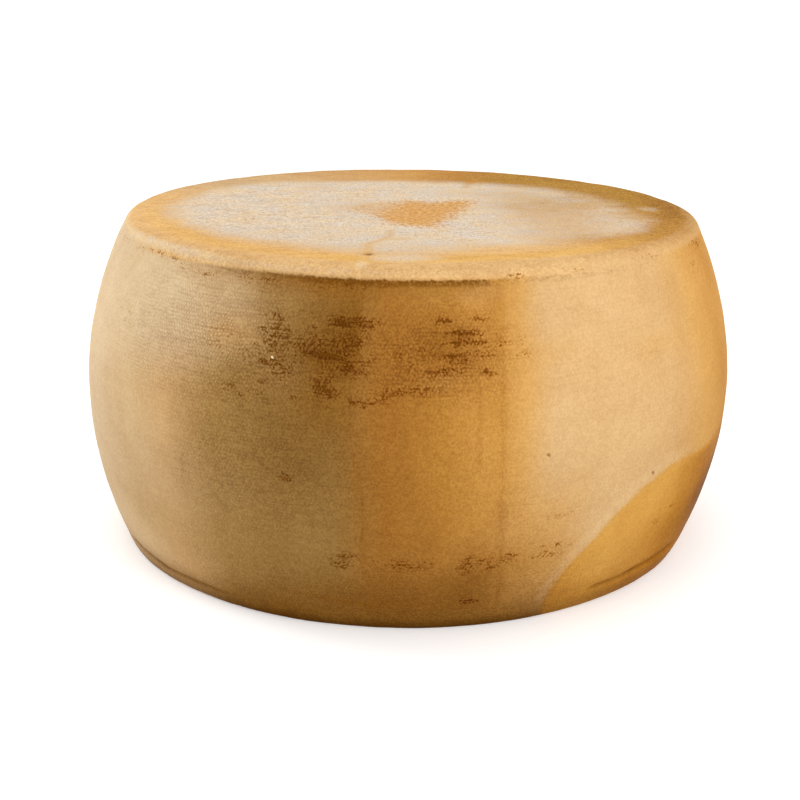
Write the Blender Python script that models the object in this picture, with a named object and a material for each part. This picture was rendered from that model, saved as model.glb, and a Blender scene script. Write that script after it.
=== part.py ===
"""A whole wheel of hard grana-type cheese, turned from one half outline.

The wheel is a single solid: it is pressed, salted and aged as one piece, so it is one object with one rind.
Frame: metres, +Z up, origin at the centre of the face that the wheel stands on. -Y is its front.
"""

import math

import bmesh
import bpy

# Driving sizes of the wheel.
BELLY_DIAMETER = 0.440
HEIGHT = 0.216
BELLY_HEIGHT = 0.105  # where the side bulges furthest out

# How far the side has drawn in at each end, and how the bow gets there: 2 is a parabola.
TOP_DRAW_IN = 0.030
FOOT_DRAW_IN = 0.0225
UPPER_BOW = 1.9
LOWER_BOW = 2.1

# Edges between the side and the two flat faces.
TOP_EDGE_RADIUS = 0.008  # the top edge has worn and slumped round
FOOT_EDGE_RADIUS = 0.0020  # the foot edge is still nearly sharp

# Fineness of the turned mesh.
TURNS = 96  # flats round the wheel
SIDE_STEPS = 18
TOP_EDGE_STEPS = 5
FOOT_EDGE_STEPS = 3
MERGE_DISTANCE = 1e-6

RIND_COLOUR = (0.61, 0.37, 0.13, 1.0)  # linear, a dry amber
RIND_ROUGHNESS = 0.62


def side_radius(z):
    """Radius of the side at height z: widest at the belly, drawing in towards both faces."""
    belly_radius = BELLY_DIAMETER / 2
    if z >= BELLY_HEIGHT:
        rise = (z - BELLY_HEIGHT) / (HEIGHT - BELLY_HEIGHT)
        return belly_radius - TOP_DRAW_IN * rise**UPPER_BOW
    drop = (BELLY_HEIGHT - z) / BELLY_HEIGHT
    return belly_radius - FOOT_DRAW_IN * drop**LOWER_BOW


def side_lean(z):
    """Angle of the side from the vertical at height z, positive where it leans inwards going up."""
    step = 1e-5
    return math.atan2(side_radius(z - step) - side_radius(z), step)


def round_edge(corner, lean, radius, steps, upper):
    """Points of an arc that joins the side to a flat face, listed from the higher end to the lower one.

    corner is (radius, height) where side and face would meet, lean is the side's lean inwards there.
    """
    turn = math.pi / 2 - lean  # how far the surface turns from the face to the side
    inset = radius * math.tan(turn / 2)
    centre_r = corner[0] - inset
    centre_z = corner[1] - radius if upper else corner[1] + radius
    points = []
    for step in range(steps + 1):
        angle = turn * step / steps  # 0 points straight out of the flat face
        out = centre_r + radius * math.sin(angle)
        up = radius * math.cos(angle)
        points.append((out, centre_z + up if upper else centre_z - up))
    return points if upper else points[::-1]


def half_outline():
    """(radius, height) points from the centre of the top face, down the side, to the centre of the foot."""
    top_corner = (side_radius(HEIGHT), HEIGHT)
    foot_corner = (side_radius(0.0), 0.0)
    top_edge = round_edge(top_corner, side_lean(HEIGHT), TOP_EDGE_RADIUS, TOP_EDGE_STEPS, upper=True)
    foot_edge = round_edge(foot_corner, -side_lean(0.0), FOOT_EDGE_RADIUS, FOOT_EDGE_STEPS, upper=False)
    high = top_edge[-1][1]
    low = foot_edge[0][1]
    side = []
    for step in range(1, SIDE_STEPS):
        z = high + (low - high) * step / SIDE_STEPS
        side.append((side_radius(z), z))
    return [(0.0, HEIGHT), *top_edge, *side, *foot_edge, (0.0, 0.0)]


def turn_wheel():
    """The closed mesh of the wheel: its half outline turned once round the Z axis."""
    form = bmesh.new()
    points = [form.verts.new((r, 0.0, z)) for r, z in half_outline()]
    lines = [form.edges.new(pair) for pair in zip(points, points[1:])]
    bmesh.ops.spin(
        form,
        geom=points + lines,
        cent=(0.0, 0.0, 0.0),
        axis=(0.0, 0.0, 1.0),
        angle=math.tau,
        steps=TURNS,
    )
    bmesh.ops.remove_doubles(form, verts=form.verts, dist=MERGE_DISTANCE)
    bmesh.ops.recalc_face_normals(form, faces=form.faces)
    mesh = bpy.data.meshes.new("cheese_wheel")
    form.to_mesh(mesh)
    form.free()
    mesh.shade_smooth()
    mesh.set_sharp_from_angle(angle=math.radians(40))
    return mesh


def rind():
    """Dry cheese rind: an opaque amber skin with a dull, slightly waxy surface."""
    material = bpy.data.materials.new("rind")
    material.use_nodes = True
    shader = material.node_tree.nodes["Principled BSDF"]
    shader.inputs["Base Color"].default_value = RIND_COLOUR
    shader.inputs["Roughness"].default_value = RIND_ROUGHNESS
    shader.inputs["Metallic"].default_value = 0.0
    return material


def build():
    """Clears the scene and leaves the finished wheel in it."""
    for leftover in list(bpy.data.objects):
        bpy.data.objects.remove(leftover)
    wheel = bpy.data.objects.new("cheese_wheel", turn_wheel())
    wheel.data.materials.append(rind())
    bpy.context.scene.collection.objects.link(wheel)


build()
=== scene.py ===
# %% [markdown]
# # A whole wheel of hard cheese
# This lesson builds one big wheel of grana-type cheese: a drum of curd that was pressed in a mould,
# salted and then aged for a year or more on a wooden shelf. It is one piece and its rind is its own dried
# skin, so one mesh with one material is the honest way to make it. What makes it look real is that it is
# not even. The form leans and swells, the mould leaves a woven print and a ledge, and handling, oil and
# mould leave stains. We turn the form, dent it, paint the stains on its points, and let the nodes draw
# everything finer.

# %% Load the frame
import math

import bpy
import numpy as np
from mathutils import Euler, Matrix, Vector, noise


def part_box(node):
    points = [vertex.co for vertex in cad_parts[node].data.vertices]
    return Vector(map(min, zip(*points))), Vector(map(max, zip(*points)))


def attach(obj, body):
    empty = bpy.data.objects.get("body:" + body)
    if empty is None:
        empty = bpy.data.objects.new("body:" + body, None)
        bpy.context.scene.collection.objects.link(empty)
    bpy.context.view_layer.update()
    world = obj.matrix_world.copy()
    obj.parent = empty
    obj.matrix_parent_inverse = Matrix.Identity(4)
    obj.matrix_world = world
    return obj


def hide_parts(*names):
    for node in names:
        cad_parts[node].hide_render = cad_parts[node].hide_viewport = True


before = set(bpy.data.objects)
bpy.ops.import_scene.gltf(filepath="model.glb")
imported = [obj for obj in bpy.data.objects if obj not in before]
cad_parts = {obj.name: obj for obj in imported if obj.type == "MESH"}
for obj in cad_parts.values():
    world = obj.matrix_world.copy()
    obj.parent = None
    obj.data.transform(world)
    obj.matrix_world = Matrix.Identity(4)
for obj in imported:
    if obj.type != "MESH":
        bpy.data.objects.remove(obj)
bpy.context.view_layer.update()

# %% [markdown]
# ## Sizes
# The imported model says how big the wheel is, so the belly and the height come from its box. The side of a
# pressed wheel bows out like a barrel's. Two curves describe it, one above the belly and one below it,
# because the top has drawn in a little more than the foot. Lengths are in metres, and MM keeps small ones
# readable.

# %% Take the sizes from the frame
MM = 0.001
low_corner, high_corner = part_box("cheese_wheel")
HEIGHT = high_corner[2] - low_corner[2]
BELLY_RADIUS = (high_corner[0] - low_corner[0]) / 2
BELLY_HEIGHT = 105 * MM
TOP_DRAW_IN = 30 * MM
FOOT_DRAW_IN = 22.5 * MM
UPPER_BOW = 1.9
LOWER_BOW = 2.1
TOP_EDGE_RADIUS = 8 * MM
FOOT_EDGE_RADIUS = 2 * MM
COARSE_ROWS = 2.4 * MM
FINE_ROWS = 1.2 * MM
FINE_BELOW = 22 * MM
FINE_ABOVE = 194 * MM


def side_radius(z):
    """How far the side stands from the axis at height z."""
    if z >= BELLY_HEIGHT:
        return BELLY_RADIUS - TOP_DRAW_IN * ((z - BELLY_HEIGHT) / (HEIGHT - BELLY_HEIGHT)) ** UPPER_BOW
    return BELLY_RADIUS - FOOT_DRAW_IN * ((BELLY_HEIGHT - z) / BELLY_HEIGHT) ** LOWER_BOW


print(f"belly {2 * BELLY_RADIUS:.3f} m across, {HEIGHT:.3f} m high")

# %% [markdown]
# ## The half outline
# A wheel is a turned form, so its half outline says everything about it. The rows of points lie closer
# together where there is something fine to shape: the ledge near the foot and the soft top edge.


# %% List the outline from the foot to the top face
def spaced(start, end, spacing):
    """Even values from start up to, but not including, end."""
    count = max(1, round(abs(end - start) / spacing))
    return [start + (end - start) * step / count for step in range(count)]


def edge_arc(height, lean, radius, steps, upper):
    """(radius, height) points of the arc between the side and a flat face, going upwards."""
    turn = math.pi / 2 - lean
    centre_r = side_radius(height) - radius * math.tan(turn / 2)
    points = []
    for step in range(steps + 1):
        angle = turn * step / steps
        up = radius * math.cos(angle)
        z = height - radius + up if upper else height + radius - up
        points.append((centre_r + radius * math.sin(angle), z))
    return points[::-1] if upper else points


def half_outline():
    """(radius, height) points of rings, from just inside the foot's edge to just inside the top's edge."""
    top_lean = math.atan2(TOP_DRAW_IN * UPPER_BOW, HEIGHT - BELLY_HEIGHT)
    foot_lean = math.atan2(FOOT_DRAW_IN * LOWER_BOW, BELLY_HEIGHT)
    foot_arc = edge_arc(0.0, foot_lean, FOOT_EDGE_RADIUS, 4, upper=False)
    top_arc = edge_arc(HEIGHT, top_lean, TOP_EDGE_RADIUS, 8, upper=True)
    heights = spaced(foot_arc[-1][1], FINE_BELOW, FINE_ROWS)[1:]
    heights += spaced(FINE_BELOW, FINE_ABOVE, COARSE_ROWS)
    heights += spaced(FINE_ABOVE, top_arc[0][1], FINE_ROWS)
    side = [(side_radius(z), z) for z in heights]
    foot_rings = [(foot_arc[0][0] - 6 * MM, 0.0), (foot_arc[0][0] - 3 * MM, 0.0)]
    top_rings = [(top_arc[-1][0] - inset * MM, HEIGHT) for inset in (2, 4.3, 6.8, 9.4, 12, 14.6, 17.2)]
    return foot_rings + foot_arc + side + top_arc + top_rings


outline = half_outline()
print(len(outline), "rings in the outline")

# %% [markdown]
# ## Turning the form
# A potter would turn this. Here a circle is added at the foot and extruded upwards, ring by ring, and
# each new ring is scaled to the outline. A grid closes the two faces, so that they have even squares
# instead of a fan of thin wedges at the centre, which would show as a star once the faces are uneven.

# %% Extrude the rings and close the faces
POINTS_ROUND = 512


def turn_form(name):
    """A closed mesh with the wheel's even, unworn shape."""
    bpy.ops.object.select_all(action="DESELECT")
    radius, height = outline[0]
    bpy.ops.mesh.primitive_circle_add(vertices=POINTS_ROUND, radius=radius, location=(0, 0, 0))
    form = bpy.context.object
    form.name = form.data.name = name
    bpy.ops.object.mode_set(mode="EDIT")
    bpy.ops.mesh.select_all(action="SELECT")
    bpy.ops.mesh.fill_grid(span=POINTS_ROUND // 4)
    bpy.ops.mesh.select_all(action="DESELECT")
    bpy.ops.mesh.select_mode(type="EDGE")
    bpy.ops.mesh.select_non_manifold()
    for next_radius, next_height in outline[1:]:
        bpy.ops.mesh.extrude_region_move(TRANSFORM_OT_translate={"value": (0, 0, next_height - height)})
        growth = next_radius / radius
        bpy.ops.transform.resize(value=(growth, growth, 1), center_override=(0, 0, next_height))
        radius, height = next_radius, next_height
    bpy.ops.mesh.fill_grid(span=POINTS_ROUND // 4)
    bpy.ops.mesh.select_all(action="SELECT")
    bpy.ops.mesh.normals_make_consistent(inside=False)
    bpy.ops.mesh.select_mode(type="VERT")
    bpy.ops.object.mode_set(mode="OBJECT")
    return form


wheel = turn_form("aged_cheese_wheel")
print(len(wheel.data.vertices), "points,", len(wheel.data.polygons), "faces")

# %% [markdown]
# ## Finding places on the wheel
# From here on everything is placed as a cheesemaker would point at it. On the side a place is an angle
# round from the front, in degrees to the right, and a height in millimetres. The height goes on counting
# over the edges: it passes 218 where the top face begins and falls below 0 under the foot. On the faces a
# place is x and y in millimetres. Nothing on a natural rind has an even edge, so a cloud noise first
# bends this map by a few millimetres.

# %% Give every point its angle and its height
FACE_START = 218.0
FOOT_RINGS = 4  # rings under the foot and round its edge


def places_of(mesh):
    """Angle in degrees, height in mm, and x and y in mm, for every point of the unworn form."""
    spots = np.array([vertex.co for vertex in mesh.vertices])
    radius = np.hypot(spots[:, 0], spots[:, 1])
    rings = np.array(outline)
    # Each ring's own height, then the way along the outline where it turns over the top and the foot edges.
    count_up = rings[:, 1].copy()
    for ring in range(1, len(rings)):
        if rings[ring, 1] > HEIGHT - TOP_EDGE_RADIUS:
            count_up[ring] = count_up[ring - 1] + math.dist(rings[ring], rings[ring - 1])
    for ring in reversed(range(FOOT_RINGS)):
        count_up[ring] = count_up[ring + 1] - math.dist(rings[ring], rings[ring + 1])
    gap = (radius[:, None] - rings[:, 0]) ** 2 + (spots[:, 2:3] - rings[:, 1]) ** 2
    height = count_up[gap.argmin(axis=1)]
    on_top = (spots[:, 2] > HEIGHT - 1e-5) & (radius < rings[-1, 0])
    on_foot = (spots[:, 2] < 1e-5) & (radius < rings[0, 0])
    height[on_top] = count_up[-1] + rings[-1, 0] - radius[on_top]
    height[on_foot] = count_up[0] - (rings[0, 0] - radius[on_foot])
    angle = np.degrees(np.arctan2(spots[:, 0], -spots[:, 1]))
    return angle, height / MM, spots[:, 0] / MM, spots[:, 1] / MM


def cloud(mesh, size, seed, octaves=3):
    """Soft noise from about -1 to 1 at every point, with lumps of the given size in metres."""
    shift = Vector((seed, 2 * seed, 3 * seed))
    return np.array([noise.fractal(vertex.co / size + shift, 0.7, 2.0, octaves) for vertex in mesh.vertices])


angles, heights, across, deep = places_of(wheel.data)
stray_one = cloud(wheel.data, 0.045, 5.3, 4)
stray_two = cloud(wheel.data, 0.045, 17.9, 4)
print(f"heights run from {heights.min():.0f} to {heights.max():.0f} mm")

# %% [markdown]
# ## Patches
# A patch is a soft-edged oval laid on the wheel: 1 inside, fading to 0 outside. The same patches say
# where a dent goes and where a stain goes, so the two always meet. Ragged patches follow the cloud noise,
# clean ones don't.


# %% Define soft patches
MM_PER_DEGREE = math.pi * BELLY_RADIUS / MM / 180


def fade(value, full, none):
    """1 where value has reached full, 0 where it has reached none, and a smooth slope between."""
    share = np.clip((value - none) / (full - none), 0, 1)
    return share * share * (3 - 2 * share)


def side_patch(angle, height, half_angle, half_height, soft=0.8, ragged=4.0):
    """An oval on the side. soft is the share of it that the fading edge takes."""
    turned = (angles - angle + 180) % 360 - 180 + ragged * stray_one * 0.26
    raised = heights - height + ragged * stray_two
    reach = np.hypot(turned / half_angle, raised / half_height)
    return fade(reach, 1 - soft, 1 + soft * 0.35)


def side_line(from_place, to_place, half_width, ragged=1.0):
    """A line on the side from one (angle, height) to another, half_width in mm, fading out at its ends."""
    start = np.array(from_place) * (MM_PER_DEGREE, 1)
    span = np.array(to_place) * (MM_PER_DEGREE, 1) - start
    here = np.stack([angles * MM_PER_DEGREE + ragged * stray_one, heights + ragged * stray_two], axis=1) - start
    share = here @ span / (span @ span)
    aside = np.linalg.norm(here - np.clip(share, 0, 1)[:, None] * span, axis=1)
    return fade(aside, 0, half_width) * fade(np.abs(share - 0.5), 0.3, 0.55)


def face_patch(x, y, half_x, half_y, soft=0.8, ragged=5.0):
    """An oval on the top face, placed by x and y."""
    reach = np.hypot((across - x + ragged * stray_one) / half_x, (deep - y + ragged * stray_two) / half_y)
    return fade(reach, 1 - soft, 1 + soft * 0.35) * top_share


def strongest(base, patches):
    """The greatest at every point of base and of several patches on the side, each times its strength."""
    for angle, height, half_angle, half_height, soft, ragged, strength in patches:
        base = np.maximum(base, strength * side_patch(angle, height, half_angle, half_height, soft, ragged))
    return base


# Along the front the side ends at the lip of the top edge, a sharp line. Elsewhere it fades out over the edge.
lip_height = 209.0 - 2.8 * fade(angles, -60, -24)
lip_sharp = fade(np.abs(angles + 14), 30, 50)
top_share = fade(heights, lip_height + 1.2, lip_height - 0.2) * lip_sharp
top_share += fade(heights, FACE_START + 1, FACE_START - 8) * (1 - lip_sharp)
foot_share = fade(heights, -4, 1)
side_share = (1 - top_share) * (1 - foot_share)
print(f"{(top_share > 0.5).mean():.0%} of the points lie on the top face")

# %% [markdown]
# ## Wear and dents
# The form is still too good. First a slow swell and a finer unevenness go over all of it, with Displace
# modifiers that read a cloud texture. Then the marks of its life: the ledge that the mould's ring left
# near the foot, the lip that was pressed over the top edge, creases where the cloth was folded, and
# knocks. Each is a patch in a vertex group, and a Displace modifier with no texture moves the group in or
# out. The points are moved in real geometry because the light has to break over them and the outline has
# to show them.


# %% Swell the form a little
def displace(mesh_object, strength, group=None, lump=None, depth=3):
    """Moves points along their normals: evenly, or by a cloud texture with lumps of the given size."""
    change = mesh_object.modifiers.new("displace", "DISPLACE")
    change.strength = strength
    change.mid_level = 0.0
    if group is not None:
        change.vertex_group = group
    if lump is not None:
        clouds = bpy.data.textures.new("clouds", "CLOUDS")
        clouds.noise_scale = lump
        clouds.noise_depth = depth
        change.texture = clouds
        change.mid_level = 0.5
    bpy.ops.object.select_all(action="DESELECT")
    mesh_object.select_set(True)
    bpy.context.view_layer.objects.active = mesh_object
    bpy.ops.object.modifier_apply(modifier=change.name)


def weigh(mesh_object, name, weights):
    """Stores one weight per point as a vertex group."""
    group = mesh_object.vertex_groups.new(name=name)
    for index in np.flatnonzero(weights > 0.004):
        group.add([int(index)], float(weights[index]), "REPLACE")
    return name


off_the_shelf = weigh(wheel, "off the shelf", 1 - foot_share)
displace(wheel, 1.2 * MM, group=off_the_shelf, lump=85 * MM, depth=2)
displace(wheel, 0.35 * MM, group=off_the_shelf, lump=16 * MM, depth=2)
print("swollen")

# %% Press in the creases and raise the lips
pressed_in = np.zeros(len(angles))
raised_up = np.zeros(len(angles))

# The groove under the lip of the top edge, deepest at the front left.
pressed_in += 0.8 * lip_sharp * fade(np.abs(heights - lip_height + 1.4 + 0.4 * stray_two), 0.2, 2.4)
raised_up += 0.35 * lip_sharp * fade(np.abs(heights - lip_height - 3.0), 0.5, 3.5)

# The ledge of the mould's ring near the foot, with the strip below it standing proud.
FRONT_LEDGE = [
    ((-64, 10.5), (-47, 8.2)), ((-52, 8.4), (-34, 8.6)), ((33, 13.5), (46, 16)), ((42, 15.5), (60, 17.5)),
]
FAR_LEDGE = [((118, 12), (150, 10)), ((150, 10), (176, 14)), ((-140, 15), (-112, 11)), ((84, 14), (104, 12))]
for start, end in FRONT_LEDGE:
    pressed_in += 0.9 * side_line(start, end, 3.0)
for angle, height in [(-55, 4.5), (40, 9), (52, 10)]:
    raised_up += 0.8 * side_patch(angle, height, 14, 7, ragged=1)
for start, end in FAR_LEDGE:
    pressed_in += 0.8 * side_line(start, end, 3.0)

# Folds of the pressing cloth, which run up the side, as (start, end, depth, darkness of the dirt in them).
FOLDS = [
    ((-7.5, 208), (-7.3, 150), 0.30, 0.30), ((-7.2, 112), (-5.6, 30), 0.34, 0.35),
    ((14.2, 96), (15.6, 12), 0.42, 0.40), ((13.8, 168), (14.4, 84), 0.26, 0.15),
    ((10.2, 160), (10.6, 104), 0.20, 0.18), ((-36.5, 104), (-36.2, 74), 0.14, 0.12),
    ((-23, 25), (-1, 17.5), 0.00, 0.35), ((96, 190), (99, 40), 0.36, 0.30),
    ((141, 170), (138, 22), 0.32, 0.30), ((-128, 196), (-131, 60), 0.34, 0.30),
    ((-172, 150), (-170, 26), 0.30, 0.30),
]
for start, end, depth, _ in FOLDS:
    pressed_in += depth * side_line(start, end, 4.2)

print(len(FOLDS), "folds of the cloth")

# %% Press in the cracks and the knocks
# The crack and the chips of the top face.
for x, y, size, depth in [
    (-24, -156, 5, 0.9), (-27, -182, 7, 0.8), (-13, -146, 4, 0.5), (-16, -104, 6, 0.35), (46, 128, 6, 0.6),
    (51, 108, 5, 0.5), (38, -142, 4, 0.4), (-52, -120, 5, 0.35), (92, 24, 5, 0.5), (-128, -34, 6, 0.4),
    (-60, 96, 6, 0.4), (120, -88, 5, 0.35),
]:
    pressed_in += depth * face_patch(x, y, size, size * 1.2, ragged=0.6)

# Knocks and worn spots round the top edge.
for angle, height, wide, depth in [
    (-56, 213, 4, 0.8), (-51, 211, 2.5, 0.8), (-44, 214, 2, 0.5), (-29, 210, 1.6, 0.6),
    (63, 211, 3, 0.9), (71, 209, 2, 0.7), (108, 212, 4, 0.5), (152, 211, 3, 0.5),
    (-98, 211, 4, 0.5), (-152, 211, 5, 0.5), (31, 213, 1.5, 0.3), (5, 214.5, 1, 0.5),
]:
    pressed_in += depth * side_patch(angle, height, wide, wide * 2.2, ragged=0.8)

# The front left of the edge has slumped, the front right is crisper.
pressed_in += 1.1 * side_patch(-58, 213, 34, 15, ragged=0)
raised_up += 0.6 * side_patch(40, 214, 34, 9, ragged=0)

displace(wheel, -1 * MM, group=weigh(wheel, "pressed in", np.clip(pressed_in, 0, 1)))
displace(wheel, 1 * MM, group=weigh(wheel, "raised", np.clip(raised_up, 0, 1)))
wheel.vertex_groups.clear()
print(f"{(pressed_in > 0.1).sum()} points pressed in, {(raised_up > 0.1).sum()} raised")

# %% [markdown]
# ## Leaning
# A wheel is turned over every few days while it is young, and it settles a little to one side. Shear
# needs a window, so the points are slid in code: the top goes a few millimetres to the right and dips
# that way.

# %% Lean the wheel
LEAN = 3.4 * MM
TOP_DIP = 0.0043
places = np.array([vertex.co for vertex in wheel.data.vertices])
lift = np.clip(places[:, 2] / HEIGHT, 0, None)
places[:, 2] -= lift * TOP_DIP * places[:, 0]
places[:, 0] += LEAN * (lift - 0.5)
places[:, 2] = np.maximum(places[:, 2], 0)
wheel.data.vertices.foreach_set("co", places.ravel())
wheel.data.update()
bpy.ops.object.shade_smooth()
print("the top stands", LEAN / MM, "mm to the right of the foot")

# %% [markdown]
# ## Painting the rind
# The broad colour of a rind is its history, and no texture node can guess where a shelf board rubbed or
# where oil was spilt. So it is painted, as on a film prop: a colour attribute on the points takes first a
# ground that changes round the wheel, then patch after patch. Colours are picked as sRGB hex values, the
# way a paint chip is read, and one function turns them into the linear values that Blender mixes.


# %% Mix the paints
def colour(hex_code):
    """Linear red, green and blue of an sRGB hex colour such as "C8A377"."""
    channels = np.array([int(hex_code[at : at + 2], 16) / 255 for at in (0, 2, 4)])
    return np.where(channels <= 0.04045, channels / 12.92, ((channels + 0.055) / 1.055) ** 2.4)


PAINTS = {
    "cream": "C9B18F",
    "straw": "CBAE82",
    "sand": "C9A471",
    "peach": "CFAC7A",
    "honey": "C99B58",
    "gold": "DDB77E",
    "amber": "C08D45",
    "ochre": "B38038",
    "toffee": "A16E2E",
    "tan": "A8864E",
    "umber": "906D38",
    "deep umber": "80500A",
    "burnt": "714808",
    "contact shadow": "4A2A02",
    "oil": "C3922E",
    "deep oil": "A26E18",
    "ivory": "DFCAA2",
    "yolk": "DDB05C",
    "olive": "B68C3C",
}

print(len(PAINTS), "paints")

# %% Lay the ground coat
# The ground round the side, as (angle, paint).
# The pale stops from -82 to -51 degrees are partly the rind's own cream and partly painted sheen, where the left
# lamp grazes the side.
GROUND = [
    (-180, "tan"), (-165, "ochre"), (-146, "honey"), (-120, "sand"), (-100, "straw"), (-82, "cream"),
    (-66, "cream"), (-51, "straw"), (-40, "sand"), (-30, "tan"), (-20, "umber"), (-11, "umber"),
    (-3, "toffee"), (5, "ochre"), (11, "amber"), (13.5, "amber"), (17.5, "honey"), (22, "sand"),
    (34, "peach"), (46, "sand"), (57, "honey"), (68, "amber"), (84, "honey"), (104, "sand"), (124, "straw"),
    (140, "sand"), (152, "honey"), (166, "amber"), (180, "tan"),
]


def ground_coat():
    """The first coat: the paints of GROUND, blended from one angle to the next."""
    stops = [angle for angle, _ in GROUND]
    paints = np.array([colour(PAINTS[name]) for _, name in GROUND])
    bent = np.clip(angles + 0.5 * stray_one, -180, 180)
    return np.stack([np.interp(bent, stops, paints[:, channel]) for channel in range(3)], axis=1)


coat = ground_coat()


def lay(name, weight, strength=1.0):
    """Paints the coat with a named paint where the weight says."""
    share = (np.clip(weight, 0, 1) * strength)[:, None]
    coat[:] = coat * (1 - share) + colour(PAINTS[name]) * share


print(len(GROUND), "stops round the wheel")

# %% List the stains of the side
# (paint, angle, height, half width in degrees, half height in mm, strength)
SIDE_STAINS = [
    # the left: paler towards its edge, partly the rind's own cream and partly painted sheen where the left lamp
    # grazes it; greyer towards the foot, and a few spots on the middle
    ("ivory", -74, 150, 14, 90, 0.25),
    ("cream", -46, 60, 16, 60, 0.10),
    ("tan", -44, 54, 14, 28, 0.35),
    ("tan", -64, 54, 10, 22, 0.16),
    ("tan", -27, 100, 8, 70, 0.30),
    ("tan", -18, 66, 12, 40, 0.40),
    ("cream", -47, 184, 21, 40, 0.85),
    ("ivory", -46, 186, 20, 34, 0.55),
    ("straw", -31, 186, 10, 28, 0.75),
    ("honey", -29, 173, 6, 13, 0.40),
    ("cream", -48, 84, 24, 34, 0.16),
    ("sand", 11, 203, 4, 7, 0.35),
    ("sand", -20, 203, 5, 6, 0.25),
    ("sand", -20, 160, 5, 16, 0.18),
    ("umber", -4, 10, 12, 9, 0.30),
    # painted sheen at the left edge, where the left lamp grazes the rind
    ("cream", -67, 86, 9, 40, 0.22),
    ("tan", -20, 190, 8, 22, 0.65),
    # the amber middle
    ("toffee", 2, 174, 9, 30, 0.60),
    ("deep umber", 6, 176, 5, 12, 0.30),
    ("toffee", 9, 170, 5, 26, 0.42),
    ("amber", 11, 202, 4, 10, 0.45),
    ("honey", 5, 158, 4, 7, 0.25),
    ("toffee", -3, 122, 5, 44, 0.60),
    ("toffee", 2, 92, 10, 56, 0.15),
    ("toffee", 17, 62, 5, 34, 0.25),
    ("honey", 25, 84, 6, 18, 0.30),
    ("toffee", -3, 176, 3.5, 12, 0.45),
    ("honey", 4, 204, 9, 9, 0.25),
    # the pale right
    ("ivory", 23, 120, 6, 34, 0.10),
    ("ivory", 22, 186, 5, 16, 0.10),
    ("honey", 22, 166, 8, 9, 0.25),
    ("peach", 40, 140, 14, 40, 0.35),
    ("honey", 62, 168, 12, 22, 0.55),
    ("honey", 44, 164, 9, 12, 0.30),
    ("amber", 74, 150, 12, 50, 0.50),
    ("amber", 66, 168, 8, 26, 0.35),
    # the lower side, browner towards the foot: partly the rind's own brown and partly painted shade low on the
    # side
    ("toffee", 1, 50, 7, 32, 0.75),
    ("toffee", 11, 40, 6, 32, 0.85),
    ("toffee", 19, 44, 6, 22, 0.45),
    ("amber", 22, 44, 8, 34, 0.70),
    ("honey", 20, 70, 8, 20, 0.55),
    ("deep umber", -4, 22, 14, 20, 0.80),
    ("deep umber", 9, 24, 8, 22, 0.75),
    ("umber", -20, 17, 13, 14, 0.65),
    ("toffee", 21, 18, 10, 18, 0.45),
    ("honey", 24, 34, 6, 24, 0.35),
    ("umber", -44, 5, 24, 10, 0.35),
    # the back and the far sides, in the same manner
    ("ivory", -96, 120, 16, 60, 0.20),
    ("umber", -128, 168, 10, 30, 0.55),
    ("toffee", -140, 172, 8, 24, 0.50),
    ("umber", -164, 150, 12, 44, 0.60),
    ("toffee", -150, 60, 16, 34, 0.40),
    ("umber", 176, 176, 10, 26, 0.55),
    ("toffee", 160, 168, 9, 28, 0.45),
    ("honey", 112, 160, 14, 22, 0.45),
    ("amber", 96, 36, 18, 26, 0.45),
    ("ivory", 128, 96, 12, 40, 0.20),
    ("umber", 150, 16, 22, 14, 0.55),
    ("umber", -112, 14, 26, 14, 0.50),
    ("deep umber", -160, 12, 18, 12, 0.55),
]
# The dark heart left of the middle ends at another fold, and its stains stop there.
HEART_STAINS = [
    ("deep umber", -12, 176, 8, 44, 0.54),
    ("burnt", -8, 184, 5, 22, 0.50),
    ("burnt", -12, 168, 6, 8, 0.35),
    ("deep umber", -12, 140, 6, 26, 0.35),
    ("toffee", -14, 205, 10, 8, 0.30),
]
print(len(SIDE_STAINS) + len(HEART_STAINS), "stains on the side")


# %% Paint the side
def stain(stains, where=1.0):
    """Lays a list of stains on the side, only where it is asked."""
    for paint, angle, height, half_angle, half_height, strength in stains:
        lay(paint, side_patch(angle, height, half_angle, half_height, soft=0.95) * where, strength)


left_of_fold = fade(angles + 0.3 * stray_one, -8.2, -7.0)
step_of_cloth = fade(angles + 0.3 * stray_one, 14.2, 15.4) * fade(angles, 13, 9) * fade(heights, 150, 110)
lay("ochre", side_share * step_of_cloth, 0.40)
stain(SIDE_STAINS)
stain(HEART_STAINS, left_of_fold)

# Painted shade: the lower half is darkened a little all round, to take back the light that the glowing floor
# throws up on it.
coat *= 1 - (0.11 * side_share * fade(heights, 80, 165))[:, None]
# Darker towards the foot, most at the front: partly the rind's own brown and partly painted shade where the side
# draws in over the floor. The last few millimetres are painted nearly black, a painted contact shadow.
middle = fade(np.abs(angles + 2), 14, 40)
lay("deep umber", side_share * fade(heights, 0, 34) * (0.20 + 0.80 * middle), 0.75)
lay("burnt", side_share * fade(heights + 1.5 * stray_two, 0, 24) * (0.20 + 0.80 * middle), 0.80)
lay("umber", side_share * fade(heights, 20, 80) * fade(np.abs(angles - 4), 10, 44), 0.30)
lay("contact shadow", side_share * fade(heights + 1.0 * stray_two, 0.5, 9) * (0.40 + 0.60 * middle), 0.70)
print("the mean red, green and blue of the coat are", coat.mean(axis=0).round(3))

# %% [markdown]
# ## Painting the faces
# The top face is golden round its edge, where hands and cloths keep it clean, and dusty with a grey-white
# bloom over the middle, where it has been left alone. The bloom is kept as a mask of its own, because the
# nodes will break it into grains. In the centre a smear of oil has eaten through it. The foot is the same
# kind of face, but the shelf has rubbed it.

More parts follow.
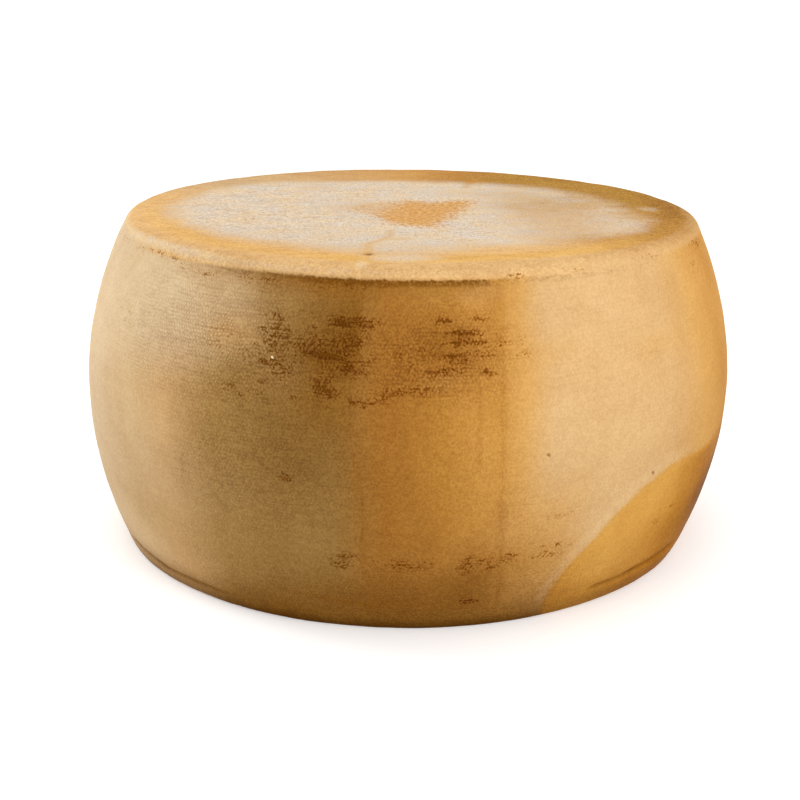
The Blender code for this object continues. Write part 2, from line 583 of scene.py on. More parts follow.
# %% Paint the top face and its bloom
# The gold ring round the top face, as (angle, paint).
RING = [
    (-180, "honey"), (-150, "sand"), (-125, "straw"), (-100, "gold"), (-60, "gold"), (-20, "gold"), (10, "gold"),
    (30, "gold"), (44, "honey"), (62, "amber"), (96, "olive"), (126, "olive"), (152, "olive"), (168, "amber"),
    (180, "honey"),
]


def ring_coat():
    """The gold of the top face's rim, blended round it."""
    stops = [angle for angle, _ in RING]
    paints = np.array([colour(PAINTS[name]) for _, name in RING])
    return np.stack([np.interp(angles, stops, paints[:, channel]) for channel in range(3)], axis=1)


coat[:] = coat * (1 - top_share[:, None]) + ring_coat() * top_share[:, None]

# How far out the bloom reaches, as (angle, mm from the axis).
BLOOM_REACH = [
    (-180, 128), (-150, 138), (-132, 163), (-110, 167), (-90, 168), (-70, 168), (-45, 160), (-22, 160), (0, 160),
    (20, 150), (42, 152), (60, 166), (76, 164), (90, 154), (112, 149), (135, 140), (156, 134), (180, 128),
]
reach_stops, reach_radii = np.array(BLOOM_REACH).T
radii = np.hypot(across, deep)
bloom_edge = np.interp(angles, reach_stops, reach_radii) + 5 * stray_one
bloom = top_share * fade(radii, bloom_edge - 30, bloom_edge + 14)
for x, y, half_x, half_y, ragged, strength in [
    (-4, -166, 28, 16, 7, 0.62), (160, 4, 9, 14, 5, 0.50), (150, -30, 8, 12, 6, 0.35),
]:
    bloom = np.maximum(bloom, strength * face_patch(x, y, half_x, half_y, ragged=ragged))

print(f"bloom on {(bloom > 0.5).mean():.0%} of the points before it is rubbed")

# %% Rub the bloom and paint the bare gold
# Where it has been rubbed thin, as (x, y, half width, half depth, soft, ragged, share rubbed off).
RUBBED = [
    (100, -10, 56, 110, 0.8, 12, 0.62), (90, -92, 50, 34, 0.8, 10, 0.35), (-10, -134, 80, 18, 0.8, 10, 0.30),
    (-30, 122, 90, 16, 0.8, 10, 0.08), (44, 66, 44, 36, 0.8, 10, 0.32), (78, 62, 34, 34, 0.8, 10, 0.14),
    (-70, 84, 20, 26, 0.8, 8, 0.30), (-60, -96, 60, 24, 0.8, 12, 0.22), (-30, 0, 40, 34, 1.0, 9, 0.45),
    (58, 8, 30, 26, 1.0, 9, 0.35),
]
for x, y, half_x, half_y, soft, ragged, share in RUBBED:
    bloom *= 1 - share * face_patch(x, y, half_x, half_y, soft, ragged)

# Between the bloom and the lip runs a band of bare gold, and the lip itself has been handled pale.
band = top_share * fade(np.abs(radii - 172 - 3 * stray_one), 3, 13)
lay("yolk", band * fade(np.abs(angles + 10), 40, 110), 0.45)
lay("yolk", band * fade(np.abs(angles - 16), 26, 40), 0.40)
lay("olive", band * fade(np.abs(angles - 100), 30, 62), 0.75)
lay("olive", top_share * fade(radii, 178, 164) * fade(np.abs(angles - 100), 16, 44), 0.60)
lay("peach", fade(radii, 187, 180) * fade(heights, 213, 209) * fade(np.abs(angles - 20), 60, 100), 0.55)
# Under the bloom the skin is a dull beige.
lay("straw", top_share * fade(radii, bloom_edge - 30, bloom_edge + 6), 0.85)
for paint, x, y, half_x, half_y, soft, ragged, strength in [
    ("sand", 96, -20, 56, 110, 1.0, 9, 0.65),
    ("honey", -30, 0, 40, 34, 1.0, 9, 0.50),
    ("sand", 60, 8, 26, 24, 1.0, 9, 0.50),
    ("toffee", 176, 10, 14, 70, 0.8, 6, 0.50),
    ("olive", 112, 24, 34, 44, 1.0, 14, 0.45),
    ("amber", 166, -58, 16, 30, 0.8, 6, 0.45),
    ("tan", 74, 50, 44, 50, 1.0, 14, 0.30),
]:
    lay(paint, face_patch(x, y, half_x, half_y, soft, ragged), strength)
print(f"bloom on {(bloom > 0.5).mean():.0%} of the points")


# %% Measure the edges of the oil marks
def inside_distance(here, outline_places):
    """How many mm each point lies inside a closed outline; outside it is negative."""
    corners = np.array(outline_places, float)
    nearest = np.full(len(here), 1e9)
    inside = np.zeros(len(here), bool)
    for start, end in zip(corners, np.roll(corners, -1, axis=0)):
        span = end - start
        share = np.clip((here - start) @ span / (span @ span), 0, 1)
        nearest = np.minimum(nearest, np.linalg.norm(here - start - share[:, None] * span, axis=1))
        crosses = (start[1] > here[:, 1]) != (end[1] > here[:, 1])
        slope = span[0] / span[1] if span[1] else 0.0
        inside ^= crosses & (here[:, 0] < start[0] + (here[:, 1] - start[1]) * slope)
    return np.where(inside, nearest, -nearest)


# The spilt oil at the lower right, as (angle, height).
SPILL = [
    (24, -6), (24.6, 14), (25.2, 24), (26.8, 34), (29.5, 46), (32, 56), (35, 67), (39, 77), (43.5, 84), (47, 87),
    (51, 88.5), (55, 86), (62, 87.5), (70, 92), (79, 92), (88, 84), (95, 66), (101, 40), (106, 12), (107, -6),
]
spill_outline = [(angle * MM_PER_DEGREE, height) for angle, height in SPILL]
here_on_side = np.stack([angles * MM_PER_DEGREE + 1.2 * stray_one, heights + 1.2 * stray_two], axis=1)
oil_edge = np.where(top_share > 0, -30, inside_distance(here_on_side, spill_outline))

# The worn mark in the middle of the top face, as (x, y). It is faint on the left.
WORN_MARK = [
    (-56, -6), (-42, 20), (-24, 38), (-4, 43), (9, 32), (17, 19), (27, 27), (41, 28), (37, 4), (28, -22),
    (21, -50), (15, -72), (0, -68), (-16, -58), (-32, -40), (-48, -24),
]
here_on_face = np.stack([across + 2.2 * stray_one, deep + 2.2 * stray_two], axis=1)
mark_edge = np.minimum(inside_distance(here_on_face, WORN_MARK), 14)
mark_edge = mark_edge - 18 * fade(across - 0.35 * deep, -28, 12)
mark_edge = np.where(top_share < 1, -30, mark_edge)
print(f"oil covers {(oil_edge > 0).mean():.1%} of the points, the worn mark {(mark_edge > 0).mean():.1%}")

# %% Paint the oil
oil_area = fade(oil_edge, 5, -1)
lay("honey", oil_area, 0.35)
lay("oil", side_patch(62, 38, 17, 40, soft=0.95) * oil_area, 0.85)
lay("deep oil", side_patch(66, 44, 10, 26, soft=0.95) * oil_area, 0.60)
lay("deep oil", side_patch(58, 12, 30, 15, soft=0.95) * oil_area, 0.70)
lay("umber", side_patch(42, 6, 20, 9, soft=0.9), 0.45)
lay("deep umber", side_patch(52, 5, 18, 9, soft=0.7), 0.40)
# The rind just outside the oil has dried paler.
lay("ivory", fade(np.abs(oil_edge + 5), 0, 6) * fade(heights, 20, 8) * fade(angles, 44, 58), 0.11)
# The darker patches round 70 to 84 degrees, near the right outline, are partly the oil's own deeper colour and
# partly painted shade.
lay("deep oil", side_patch(84, 40, 26, 60, soft=0.9) * oil_area, 0.60)
lay("deep umber", side_patch(70, 52, 22, 54, soft=0.9) * oil_area, 0.72)
lay("deep umber", side_patch(54, 34, 8, 22, soft=0.95) * oil_area, 0.40)
lay("deep oil", side_patch(45, 34, 8, 20, soft=0.95) * oil_area, 0.30)
lay("burnt", side_patch(70, 44, 14, 26, soft=0.9) * oil_area, 0.80)
lay("deep oil", side_patch(60, 78, 9, 16, soft=0.9) * oil_area, 0.45)
lay("tan", side_patch(66, 10, 12, 7, soft=0.8), 0.45)

# %% Rub the foot
lay("honey", foot_share, 0.8)
lay("straw", foot_share * fade(radii, 150, 178), 0.6)
lay("toffee", foot_share * fade(np.abs(radii - 176 - 5 * stray_one), 0, 14), 0.5)
for board in range(-3, 4):
    lay("tan", foot_share * fade(np.abs(across - 54 * board - 3 * stray_two), 1, 7), 0.35)
bloom = np.maximum(bloom, 0.55 * foot_share * fade(radii + 16 * stray_one, 96, 150))

# %% Paint the lip of the top edge and the line below it
# Each is (angle, height, half width in degrees, half height in mm, soft, ragged, strength).
wear = strongest(
    0,
    [
        (-50, 213.5, 28, 4.5, 0.7, 1.0, 0.80),
        (-12, 213.5, 24, 3.5, 0.8, 0.8, 0.38),
        (30, 214, 26, 4, 0.8, 1.5, 0.35),
        (-110, 214, 40, 5, 0.8, 2, 0.50),
        (150, 214, 40, 5, 0.8, 2, 0.45),
    ],
)
bloom = strongest(bloom, [(-50, 214, 20, 5.5, 0.9, 1.0, 0.50), (-18, 213, 22, 3.5, 0.9, 0.8, 0.30)])
lay("gold", wear, 0.45)
lay("ivory", wear * fade(angles, -34, -16), 0.60)
below_lip = lip_height - heights
lip_band = fade(below_lip, 0.2, -0.6) * fade(below_lip, 2, 15)
lay("deep umber", lip_band * fade(np.abs(angles + 6), 12, 24), 0.40)
lay("toffee", lip_band * fade(np.abs(angles + 26), 10, 26), 0.15)
# How dark the line is, round the wheel. The nodes draw it just below the lip.
lip_line_darkness = 1.00 * fade(angles, -14, -28) * fade(angles, 12, 13.8)
lip_line_darkness = np.maximum(lip_line_darkness, 0.55 * fade(angles, -28, -46) * fade(angles, 12, 13.8))
lip_line_darkness = np.maximum(lip_line_darkness, 0.36 * fade(angles, 14, 12) * fade(angles, 18, 62))
lip_line_darkness = np.maximum(lip_line_darkness, 0.50 * fade(np.abs(np.abs(angles) - 136), 20, 44))

# The ledge near the foot and the folds hold dirt.
for start, end in [FRONT_LEDGE[0], ((-52, 8.4), (-30, 8.6))]:
    lay("burnt", side_line(start, end, 2.6), 0.65)
for start, end in FRONT_LEDGE[2:]:
    lay("burnt", side_line(start, end, 2.6), 0.60)
for start, end in FAR_LEDGE[:3]:
    lay("burnt", side_line(start, end, 2.6), 0.55)
for start, end, _, darkness in FOLDS:
    lay("deep umber", side_line(start, end, 2.6), darkness)


# %% Paint the crack of the top face
def face_line(corners, half_width):
    """A line on the top face through (x, y) corners, half_width in mm."""
    here = np.stack([across + 1.5 * stray_one, deep + 1.5 * stray_two], axis=1)
    nearest = np.full(len(here), 1e9)
    for start, end in zip(corners, corners[1:]):
        start = np.array(start, float)
        span = np.array(end) - start
        share = np.clip((here - start) @ span / (span @ span), 0, 1)
        nearest = np.minimum(nearest, np.linalg.norm(here - start - share[:, None] * span, axis=1))
    return fade(nearest, 0, half_width) * top_share


crack = face_line([(-12, -84), (-13, -102), (-20, -118), (-26, -128), (-24, -156), (-29, -190)], 5)
bloom *= 1 - 0.7 * crack
bloom *= 1 - 0.6 * face_line([(40, 94), (44, 114), (50, 134)], 7)
bloom *= 1 - 0.5 * face_patch(-8, -112, 15, 6, ragged=3)
lay("gold", crack, 0.5)
lay("honey", face_line([(40, 94), (44, 114), (50, 134)], 7), 0.5)
lay("deep umber", face_patch(-24, -156, 3.4, 4.4, ragged=1), 0.8)
lay("ivory", face_patch(-27, -182, 4, 8, ragged=1), 0.8)
print("cracks painted")

# %% [markdown]
# ## Masks for the fine detail
# The nodes will draw the woven print, its dirt and the dots of mould, but only where the masks below
# allow them. The print is sharpest high on the left of the front, where the mould pressed hardest, and
# nearly gone on the right.

# %% Mask the print
imprint = 0.18 + 0.08 * stray_one
imprint = np.maximum(imprint, 0.50 * fade(heights, 24, 70) * fade(np.abs(angles), 24, 60))
imprint = strongest(
    imprint,
    [
        (-32, 168, 28, 56, 0.9, 4, 1.00),
        (-24, 110, 24, 70, 0.9, 4, 0.70),
        (4, 170, 16, 36, 0.9, 4, 0.90),
        (-140, 130, 44, 70, 0.9, 4, 0.80),
        (150, 140, 34, 60, 0.9, 4, 0.70),
    ],
)
imprint *= side_share

print(f"printed on {(imprint > 0.4).mean():.0%} of the points")

# %% Mask the dirt
# (angle, height, half width in degrees, half height in mm, strength)
DIRT = [
    (-21, 178, 4, 12, 0.50), (-21, 162, 5, 7, 0.50), (-22, 187, 2.2, 3, 0.90), (-30, 170, 8, 12, 0.22),
    (-9, 187, 5, 5, 0.95), (-9, 176, 4, 14, 0.60), (-12, 170, 7, 3.4, 0.85), (-8, 164, 3.5, 6, 0.70),
    (-12, 150, 4, 6, 0.70), (-6, 146, 4, 3, 0.65), (-16, 166, 14, 30, 0.38), (-25, 145, 10, 14, 0.22),
    (8, 182, 6, 2.4, 0.90), (8.5, 177, 5, 2.4, 0.80), (8, 170, 5.5, 4, 0.70), (4.5, 163, 5, 2.6, 0.70),
    (4, 170, 11, 20, 0.24),
    (5.6, 188, 1.8, 4, 0.95), (11, 190, 2, 3, 0.80), (12, 161, 1.6, 2, 0.95), (0, 152, 7, 4, 0.45),
    (-10, 206, 9, 4, 0.40), (14, 176, 5, 7, 0.30), (18, 168, 4, 3, 0.35), (40, 160, 5, 4, 0.14),
    (24, 55, 5, 2.4, 0.38), (23, 49, 5, 3, 0.36), (25, 74, 5, 2, 0.38), (17, 50, 2.4, 6, 0.40),
    (-52, 207, 10, 3, 0.36), (-38, 205, 10, 4, 0.28), (-26, 205, 8, 4, 0.32), (17, 209, 3, 3, 0.45),
    (29, 211, 5, 2, 0.28), (46, 212, 7, 2, 0.28), (-70, 206, 8, 8, 0.20),
    (46, 50, 3, 3.5, 0.34), (49, 56, 3, 2, 0.32),
    (-18, 99.5, 1.7, 3, 0.95), (-9, 50, 3, 7, 0.50), (10.5, 20, 2, 3, 0.80), (0, 48, 6, 8, 0.35),
    (11, 46, 5, 9, 0.45), (68, 208, 6, 5, 0.35), (62, 197, 6, 4, 0.20), (-54, 168, 12, 12, 0.16),
    (-132, 172, 9, 18, 0.75), (-142, 160, 6, 10, 0.70), (-160, 176, 8, 12, 0.60), (172, 178, 9, 14, 0.75),
    (160, 166, 7, 9, 0.70), (148, 52, 7, 4, 0.55), (120, 170, 8, 7, 0.50), (-116, 70, 8, 6, 0.40),
    (-168, 60, 9, 10, 0.45), (104, 120, 5, 5, 0.35),
]
dirt = np.zeros(len(angles))
for angle, height, half_angle, half_height, strength in DIRT:
    dirt = np.maximum(dirt, strength * side_patch(angle, height, half_angle, half_height, soft=1.0, ragged=2.5))

print(len(DIRT), "dirty spots")

# %% Mask the specks
# (angle, height, strength) of the dots of mould and the small holes
SPECKS = [
    (-18.4, 98, 1.0), (-17.2, 97.4, 0.9), (-32, 148, 0.9), (21, 113, 0.9), (42, 86, 1.0), (51, 92, 0.6),
    (15, 34, 0.8), (-51, 99, 0.55), (-35, 62, 0.6), (18.6, 145, 0.5), (-22, 187.5, 0.9), (30, 170, 0.4),
    (10.3, 20, 0.7), (-10.8, 113, 0.4), (57, 131, 0.4), (-60, 138, 0.4), (66, 210, 0.9), (69, 208, 0.8),
    (-96, 88, 0.9), (-118, 132, 0.8), (-139, 74, 0.9), (-164, 110, 0.9), (176, 92, 0.8), (155, 128, 0.9),
    (133, 64, 0.9), (118, 108, 0.7), (97, 146, 0.9), (86, 118, 0.6),
]
specks = np.zeros(len(angles))
pale_specks = np.zeros(len(angles))
for angle, height, strength in SPECKS:
    specks = np.maximum(specks, strength * side_patch(angle, height, 0.6, 2.0, soft=1.0, ragged=0))
for angle, height in [(-21, 165.5), (-18, 203.5), (112, 156), (-150, 140)]:
    pale_specks = np.maximum(pale_specks, side_patch(angle, height, 0.42, 1.3, soft=1.0, ragged=0))
for x, y, size in [(-12, -145, 3), (-24, -156, 3.5), (38, -142, 3), (92, 24, 3), (-60, 96, 3)]:
    specks = np.maximum(specks, 0.6 * face_patch(x, y, size, size, soft=1.0, ragged=0))
print(len(SPECKS), "specks on the side")


# %% Store the paint and the masks on the points
def store(mesh, name, values):
    """Keeps a value for each point, as a number or as a colour, for the nodes to read."""
    if values.ndim == 1:
        attribute = mesh.attributes.new(name, "FLOAT", "POINT")
        attribute.data.foreach_set("value", values.astype(np.float32))
        return
    attribute = mesh.attributes.new(name, "FLOAT_COLOR", "POINT")
    opaque = np.hstack([values, np.ones((len(values), 1))])
    attribute.data.foreach_set("color", opaque.astype(np.float32).ravel())


MASKS = {
    "bloom": bloom,
    "imprint": imprint,
    "dirt": dirt,
    "specks": specks,
    "pale_specks": pale_specks,
    "oil_edge": np.clip(oil_edge, -30, 30),
    "mark_edge": np.clip(mark_edge, -30, 30),
    "below_lip": np.clip(below_lip, -20, 60),
    "lip_line_darkness": lip_line_darkness,
    "on_top": top_share,
}
store(wheel.data, "coat", np.clip(coat, 0, 1))
for name, values in MASKS.items():
    store(wheel.data, name, values)
print([attribute.name for attribute in wheel.data.attributes])

# %% [markdown]
# ## The rind's material
# Dry rind is an opaque skin of fat and protein, somewhere between wax and leather: IOR about 1.45, no
# metal, and hardly any shine, because its pores scatter the light. The nodes read the painted coat and
# add what is too fine to paint: mottling, the weave of the mould, dirt in its holes, grains of bloom, and
# a bump for each. Patterns use Object coordinates, so they stay on the wheel wherever it is carried.

# %% Start the material
rind = bpy.data.materials.new("aged grana rind")
rind.use_nodes = True
tree = rind.node_tree
shader = tree.nodes["Principled BSDF"]
TIMES = {"operation": "MULTIPLY"}
PLUS = {"operation": "ADD"}
TIMES_PLUS = {"operation": "MULTIPLY_ADD"}
SMOOTH = {"interpolation_type": "SMOOTHSTEP"}


def node(kind, inputs=(), output=0, **settings):
    """Adds a node, fills or feeds its inputs and returns one of its outputs.

    inputs is a list in the order of the node's sockets, or a dict of only some of them.
    """
    made = tree.nodes.new("ShaderNode" + kind)
    for name, value in settings.items():
        setattr(made, name, value)
    chosen = inputs if isinstance(inputs, dict) else dict(enumerate(inputs))
    for socket, value in chosen.items():
        if isinstance(value, bpy.types.NodeSocket):
            tree.links.new(value, made.inputs[socket])
        else:
            made.inputs[socket].default_value = value
    return made.outputs[output]


place = node("TexCoord", output="Object")
coat_paint = node("Attribute", output="Color", attribute_name="coat")
mask = {name: node("Attribute", output="Fac", attribute_name=name) for name in MASKS}
print(len(mask), "masks are read by the nodes")


# %% Ways to make and use patterns
def paint_value(hex_code):
    """A hex colour as the four linear values of a colour socket."""
    return (*colour(hex_code), 1.0)


def grain(size, detail=3.0, stretch=(1.0, 1.0, 1.0), roughness=0.55):
    """Noise with lumps of the given size in metres, from 0 to 1."""
    vector = place
    if stretch != (1.0, 1.0, 1.0):
        vector = node("Mapping", {"Vector": place, "Scale": stretch})
    return node("TexNoise", {"Vector": vector, "Scale": 0.5 / size, "Detail": detail, "Roughness": roughness})


def swing(pattern, width):
    """A pattern from 0 to 1 turned into a swing about zero, of the given width."""
    return node("Math", [node("Math", [pattern, -0.5], **PLUS), width], **TIMES)


def within(area, pattern, low, high):
    """Where the pattern climbs from low to high, but only inside the area."""
    step = node("MapRange", [pattern, low, high], **SMOOTH)
    return node("Math", [step, area], **TIMES)


def stained(under, share, strength, hex_code):
    """Multiplies a colour by another, as a thin stain does, so that what is under it shows through."""
    amount = node("Math", [share, strength], **TIMES)
    inputs = {0: amount, 6: under, 7: paint_value(hex_code)}
    return node("Mix", inputs, 2, data_type="RGBA", blend_type="MULTIPLY")


def covered(under, share, strength, over):
    """Covers a colour by another, as dust or thick dirt does."""
    amount = node("Math", [share, strength], **TIMES)
    return node("Mix", {0: amount, 6: under, 7: over}, 2, data_type="RGBA")


print("honey as a colour socket takes it:", paint_value(PAINTS["honey"]))


# %% [markdown]
# ## Mottled skin
# As the skin dries it clouds over, in broad clouds first, then in lumps, and at last in a leathery grain.
# Each layer is a stain that multiplies the coat, so the painted colours still show. Brown, old rind is
# the grainier.

# %% Mottle the skin
leather = grain(1.6 * MM, 2.0)
fine = grain(0.8 * MM, 2.0)
finest = grain(0.6 * MM, 1.0)
skin = coat_paint
for pattern, low, high, strength, tint in [
    (grain(30 * MM, 3.0), 0.36, 0.66, 0.12, "C09A58"),
    (grain(9 * MM, 4.0, roughness=0.6), 0.40, 0.68, 0.07, "C0925A"),
    (leather, 0.34, 0.66, 0.07, "B08658"),
    (fine, 0.34, 0.66, 0.11, "B08658"),
]:
    skin = stained(skin, node("MapRange", [pattern, low, high], **SMOOTH), strength, tint)

# aged is 1 where the coat is dark.
aged = node("MapRange", [node("RGBToBW", [coat_paint]), 0.42, 0.20], **SMOOTH)
skin = stained(skin, within(aged, finest, 0.40, 0.60), 0.23, "B49A74")
skin = stained(skin, within(aged, leather, 0.40, 0.62), 0.05, "B09068")
print(len(tree.nodes), "nodes so far")

# %% [markdown]
# ## The woven print
# The mould's perforated band left rows of small nubs in the curd, and the cloth under it left its
# threads. The nubs are worked out from the angle and the height, so the rows run right round the wheel
# without a seam. A slow noise lets them sag, as cloth does.

# %% Lay out the nubs of the print
PRINT_ROUND = 600  # nubs round the wheel, 2.3 mm apart
PRINT_ROW = 2.1 * MM


def print_nubs():
    """1 on each nub that a hole of the mould left, 0 between them. Every second row is shifted by half."""
    x, y, z = node("SeparateXYZ", [place]).node.outputs
    turn = node("Math", [x, node("Math", [y, -1.0], **TIMES)], operation="ARCTAN2")
    sag = swing(node("TexNoise", {"Vector": place, "Scale": 70.0, "Detail": 2.0}), 2.2)
    rows = node("Math", [z, 1 / PRINT_ROW, sag], **TIMES_PLUS)
    shift = node("Math", [node("Math", [rows], operation="FLOOR"), 0.5, sag], **TIMES_PLUS)
    columns = node("Math", [turn, PRINT_ROUND / math.tau, shift], **TIMES_PLUS)
    sideways = node("Math", [columns], operation="FRACT")
    upwards = node("Math", [rows], operation="FRACT")
    cell = node("CombineXYZ", [sideways, upwards])
    offset = node("VectorMath", [cell, (0.5, 0.5, 0.0)], operation="SUBTRACT")
    from_middle = node("VectorMath", [offset], "Value", operation="LENGTH")
    return node("MapRange", [from_middle, 0.14, 0.46, 1.0, 0.0], **SMOOTH)


nubs = print_nubs()
print(round(math.tau * BELLY_RADIUS / PRINT_ROUND / MM, 1), "mm from nub to nub")

# %% Print the threads and the nubs
# Threads are long noise, 1.1 mm high and 14 mm wide.
threads = grain(14 * MM, 3.0, stretch=(1.0, 1.0, 12.0))
skin = stained(skin, within(mask["imprint"], threads, 0.46, 0.64), 0.13, "8A5A1E")

# The ground between the nubs is a little darker, and patchy, because the print didn't take everywhere.
between = node("Math", [1.0, nubs], operation="SUBTRACT")
patchy = node("MapRange", [grain(7 * MM, 2.0), 0.34, 0.60, 0.5, 0.9], **SMOOTH)
printed = node("Math", [node("Math", [between, mask["imprint"]], **TIMES), patchy], **TIMES)
skin = stained(skin, printed, 0.30, "8A5816")
pitted = within(mask["imprint"], finest, 0.48, 0.60)
skin = stained(skin, pitted, 0.22, "8A5816")
print(len(tree.nodes), "nodes so far")

# %% [markdown]
# ## Dirt
# Handling rubs dirt into the print. It lies in drifts of about 5 mm, and in a drift it is caught in short
# dashes along the rows and in flecks beside them, more of them where the mask is strong. Three stains
# that start later and later give each fleck a pale rim and a dark core.

# %% Rub in the dirt
drifts = node("MapRange", [grain(5 * MM, 3.0), 0.36, 0.58, 0.30, 1.12], **SMOOTH)
dirty = node("Math", [mask["dirt"], drifts], **TIMES)
dashes = grain(1.3 * MM, 3.0, stretch=(0.35, 0.35, 1.3), roughness=0.7)
flecks = grain(0.8 * MM, 2.0)
caught = swing(between, 0.07)
for pattern, weight in [(dashes, 0.52), (flecks, 0.48), (dirty, 0.13)]:
    caught = node("Math", [pattern, weight, caught], **TIMES_PLUS)

allowed = node("MapRange", [dirty, 0.06, 0.30], **SMOOTH)
gritty = node("MapRange", [dirty, 0.05, 0.45], **SMOOTH)
skin = stained(skin, node("MapRange", [dirty, 0.05, 1.0], **SMOOTH), 0.22, "B0742A")
skin = stained(skin, within(allowed, caught, 0.53, 0.66), 0.66, "DCC070")
skin = stained(skin, within(gritty, finest, 0.50, 0.60), 0.50, "C89C50")
skin = stained(skin, within(allowed, caught, 0.60, 0.62), 0.50, "A87828")
skin = covered(skin, within(allowed, caught, 0.65, 0.675), 0.72, paint_value("643E08"))
print(len(tree.nodes), "nodes so far")

# %% Draw the line below the lip
# This line runs just below the lip. It frays at its edges and breaks up where it is painted less dark.
fraying = swing(grain(2.4 * MM, 4.0, roughness=0.7), 3.4)
below = node("Math", [mask["below_lip"], fraying], **PLUS)
line = within(node("MapRange", [below, 4.8, 1.0], **SMOOTH), below, -0.6, 0.6)
line = node("Math", [line, mask["lip_line_darkness"]], **TIMES)
line = within(line, node("Math", [swing(dashes, 3.0), mask["lip_line_darkness"]], **PLUS), 0.10, 0.70)
line = node("Math", [line, node("MapRange", [flecks, 0.40, 0.54, 0.30, 1.0], **SMOOTH)], **TIMES)
skin = covered(skin, line, 0.85, paint_value("70420C"))
print(len(tree.nodes), "nodes so far")

# %% [markdown]
# ## Oil and bloom
# Oil makes the rind deeper and warmer, and creeps outwards with a wandering edge. Bloom is pale dust. Its
# grains are dense in the middle of the face and thin out towards the edge, so the mask is shaken by the
# same noise that makes the grains. In the middle the bloom has soaked up oil, and its grains break up the
# edge of that mark too.

# %% Soak in the oil
edge_grain = grain(5 * MM, 4.0)
soaked = node("Math", [mask["oil_edge"], swing(edge_grain, 6.0)], **PLUS)
oil = node("MapRange", [soaked, -1.6, 1.6], **SMOOTH)
skin = stained(skin, oil, 0.90, "FBEAA8")
print(len(tree.nodes), "nodes so far")

# %% Strew the bloom
dust = grain(1.5 * MM, 3.0, roughness=0.75)
wisps = grain(11 * MM, 4.0, stretch=(1.0, 3.2, 1.0), roughness=0.65)
strewn = node("Math", [swing(dust, 1.0), swing(wisps, 1.0)], **PLUS)
strewn = node("Math", [strewn, node("MapRange", [mask["bloom"], 0.0, 0.35], **SMOOTH)], **TIMES)
bloom_share = node("MapRange", [node("Math", [mask["bloom"], strewn], **PLUS), 0.05, 0.95], **SMOOTH)
dust_tone = node("MapRange", [grain(12 * MM, 5.0, roughness=0.6), 0.36, 0.64], **SMOOTH)
dust_colours = {0: dust_tone, 6: paint_value("DAC8AC"), 7: paint_value("D2C9BC")}
skin = covered(skin, bloom_share, 0.92, node("Mix", dust_colours, 2, data_type="RGBA"))

# The crumbs of dust shade each other, and the bare rind of the top face has a fine grain too.
crumbly = node("Math", [mask["bloom"], 0.45, node("Math", [mask["on_top"], 0.55], **TIMES)], **TIMES_PLUS)
bare = node("Math", [mask["on_top"], aged], **TIMES)
for area, pattern, low, high, strength, tint in [
    (crumbly, dust, 0.44, 0.60, 0.34, "C09C78"),
    (crumbly, finest, 0.46, 0.58, 0.34, "B89468"),
    (bare, finest, 0.46, 0.60, 0.45, "B08C58"),
    (mask["on_top"], wisps, 0.42, 0.66, 0.16, "B4843C"),
]:
    skin = stained(skin, within(area, pattern, low, high), strength, tint)
print(len(tree.nodes), "nodes so far")

# %% Mark the middle, and add the specks
worn = node("Math", [mask["mark_edge"], node("Math", [swing(wisps, 12.0), swing(dust, 44.0)], **PLUS)], **PLUS)
worn = node("MapRange", [worn, -9.0, 8.0], **SMOOTH)
worn_tone = node("MapRange", [dust, 0.40, 0.60], **SMOOTH)
worn_colours = {0: worn_tone, 6: paint_value("CE9C58"), 7: paint_value("B07A38")}
skin = covered(skin, worn, 0.88, node("Mix", worn_colours, 2, data_type="RGBA"))

# Dots of mould are brown, and grains of salt are pale.
speckle = node("Math", [mask["specks"], swing(edge_grain, 0.5)], **PLUS)
skin = covered(skin, node("MapRange", [speckle, 0.40, 0.62], **SMOOTH), 0.66, paint_value("744410"))
salt = node("MapRange", [mask["pale_specks"], 0.55, 0.75], **SMOOTH)
skin = covered(skin, salt, 1.0, paint_value("E6D2AA"))
tree.links.new(skin, shader.inputs["Base Color"])
print(len(tree.nodes), "nodes so far")

# %% [markdown]
# ## Shine and relief
# The rind is dull, duller under bloom, and a little smoother where oil has soaked in. All that was drawn
# above also has a height, from the nubs of the print to the crumbs of dust, so that light from the side
# picks it out. It is too fine for the mesh, so it is a bump.

# %% Set the shine
roughness = 0.50
for pattern, change in [(fine, 0.16), (oil, -0.12), (bloom_share, 0.22)]:
    roughness = node("Math", [pattern, change, roughness], **TIMES_PLUS)
tree.links.new(roughness, shader.inputs["Roughness"])
shader.inputs["IOR"].default_value = 1.45
shader.inputs["Specular IOR Level"].default_value = 0.01
print("IOR", round(shader.inputs["IOR"].default_value, 2))

# %% Raise the relief
relief = 0.0
for pattern, millimetres in [
    (node("Math", [nubs, mask["imprint"]], **TIMES), 0.12),
    (node("Math", [threads, mask["imprint"]], **TIMES), -0.45),
    (leather, -0.20),
    (fine, -0.10),
    (pitted, -0.06),
    (node("Math", [dust, crumbly], **TIMES), 0.70),
    (node("MapRange", [speckle, 0.30, 0.62], **SMOOTH), -0.40),
    (line, -0.40),
]:
    relief = node("Math", [pattern, millimetres * MM, relief], **TIMES_PLUS)
bump = node("Bump", {"Height": relief, "Strength": 1.0, "Distance": 1.0})
tree.links.new(bump, shader.inputs["Normal"])

wheel.data.materials.clear()
wheel.data.materials.append(rind)
print(len(tree.nodes), "nodes in the rind")

# %% Put the wheel in the frame
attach(wheel, "root")
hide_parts("cheese_wheel")

# %% [markdown]
# ## Floor, light and camera
# The wheel stands on a plain pale floor. A broad lamp at the right front is the key, a long one at the
# left, a little behind the wheel, draws the pale edge there, and a soft one overhead lifts the top face.
# The floor glows a little itself, like a table lit from below, which keeps its shadows pale.


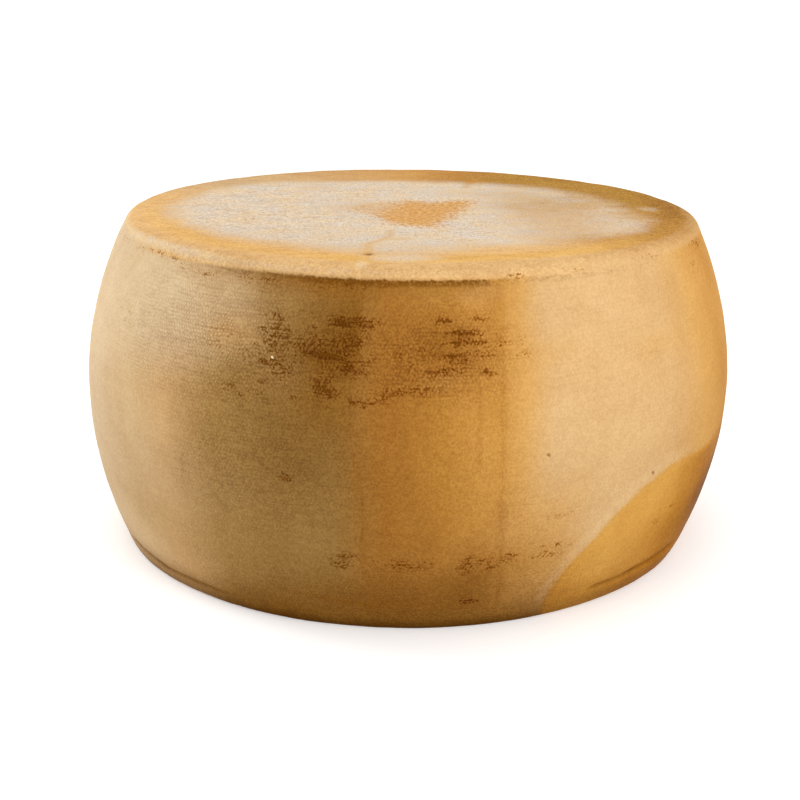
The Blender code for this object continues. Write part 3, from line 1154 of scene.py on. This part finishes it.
# %% Lay the floor
def stage_floor():
    """A wide pale floor, faintly lit from below."""
    bpy.ops.object.select_all(action="DESELECT")
    bpy.ops.mesh.primitive_plane_add(size=60, location=(0, 0, 0))
    floor = bpy.context.object
    floor.name = "studio_floor"
    paper = bpy.data.materials.new("matt white paper")
    paper.use_nodes = True
    shader = paper.node_tree.nodes["Principled BSDF"]
    shader.inputs["Base Color"].default_value = (0.93, 0.93, 0.93, 1)
    shader.inputs["Roughness"].default_value = 0.9
    shader.inputs["Specular IOR Level"].default_value = 0.1
    shader.inputs["Emission Color"].default_value = (1, 1, 1, 1)
    shader.inputs["Emission Strength"].default_value = 0.17
    floor.data.materials.append(paper)
    return floor


floor = stage_floor()


# %% Hang the lamps
def area_lamp(name, azimuth, elevation, distance, width, tall, watts):
    """A soft lamp that looks at the wheel. Azimuth 0 is in front of it and goes round to the right."""
    around, up = math.radians(azimuth), math.radians(elevation)
    away = Vector((math.sin(around) * math.cos(up), -math.cos(around) * math.cos(up), math.sin(up)))
    light = bpy.data.lights.new(name, "AREA")
    light.shape = "RECTANGLE"
    light.size = width
    light.size_y = tall
    light.energy = watts
    lamp = bpy.data.objects.new(name, light)
    lamp.location = Vector((0, 0, HEIGHT / 2)) + away * distance
    lamp.rotation_euler = away.to_track_quat("Z", "Y").to_euler()
    bpy.context.scene.collection.objects.link(lamp)
    return lamp


area_lamp("key", 42, 30, 1.8, 0.9, 0.9, 13)
area_lamp("left_edge", -112, 22, 1.6, 0.7, 1.2, 13)
area_lamp("overhead", 180, 72, 1.8, 1.4, 1.4, 4)

world = bpy.data.worlds.new("soft studio")
world.use_nodes = True
world.node_tree.nodes["Background"].inputs["Color"].default_value = (1, 1, 1, 1)
world.node_tree.nodes["Background"].inputs["Strength"].default_value = 0.95
bpy.context.scene.world = world
bpy.context.scene.view_settings.view_transform = "Standard"

# %% Set up the camera
CAMERA_DISTANCE = 0.933
CAMERA_RISE = math.radians(16.1)
CAMERA_DIP = math.radians(17.85)
CAMERA_YAW = math.radians(-0.33)
CAMERA_ROLL = math.radians(0.384)
LENS = 59.3


def add_camera():
    """A short telephoto view from the front, a little above the wheel."""
    camera_data = bpy.data.cameras.new("camera")
    camera_data.lens = LENS
    camera_data.sensor_width = 36
    camera = bpy.data.objects.new("camera", camera_data)
    camera.location = (0, -CAMERA_DISTANCE * math.cos(CAMERA_RISE), HEIGHT / 2 + CAMERA_DISTANCE * math.sin(CAMERA_RISE))
    aim = Euler((math.pi / 2 - CAMERA_DIP, 0, -CAMERA_YAW)).to_matrix()
    camera.rotation_euler = (aim @ Euler((0, 0, CAMERA_ROLL)).to_matrix()).to_euler()
    bpy.context.scene.collection.objects.link(camera)
    bpy.context.scene.camera = camera
    return camera


camera = add_camera()
